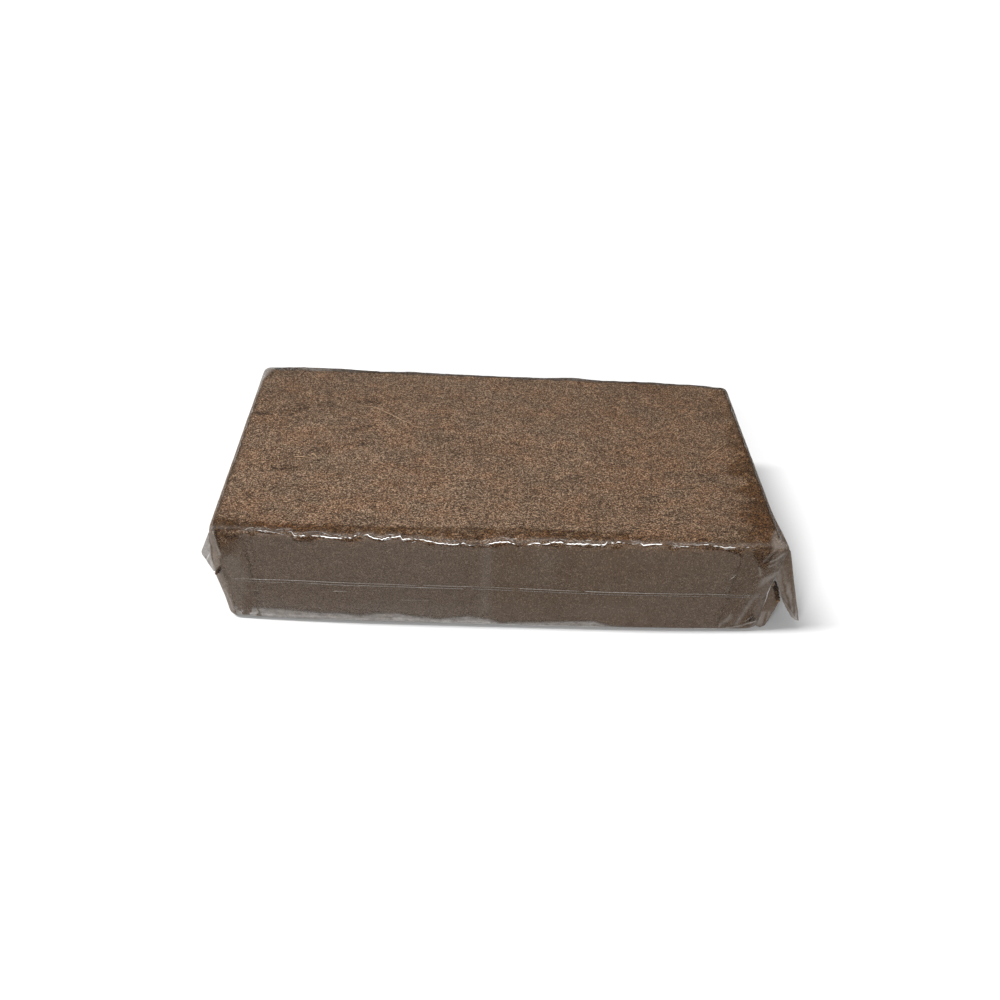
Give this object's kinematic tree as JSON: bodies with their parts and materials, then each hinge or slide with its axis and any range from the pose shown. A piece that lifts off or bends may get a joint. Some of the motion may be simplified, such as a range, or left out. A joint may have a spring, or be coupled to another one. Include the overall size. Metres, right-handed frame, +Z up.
{
  "type": "coconut coir brick in clear film",
  "caption": "Pressed rectangular brick of coconut coir, wrapped in clear plastic film with a lap seam and crimped, drooping ends.",
  "frame": {"origin": "on the table under the middle of the brick, in the film's flat underside", "axes": "+X along the brick towards the end with the large drooping ear, -Y towards the face with the lap seam, +Z up"},
  "size_m": [0.2258, 0.1036, 0.0461],
  "materials": {
    "coir": "pressed coconut pith and short fibre, matt, brown with dark and orange flecks",
    "film": "thin clear plastic film, glossy, slightly hazed with coir dust"
  },
  "bodies": {
    "root": {"coir_block": "coir", "film_wrapper": "film"}
  },
  "joints": []
}
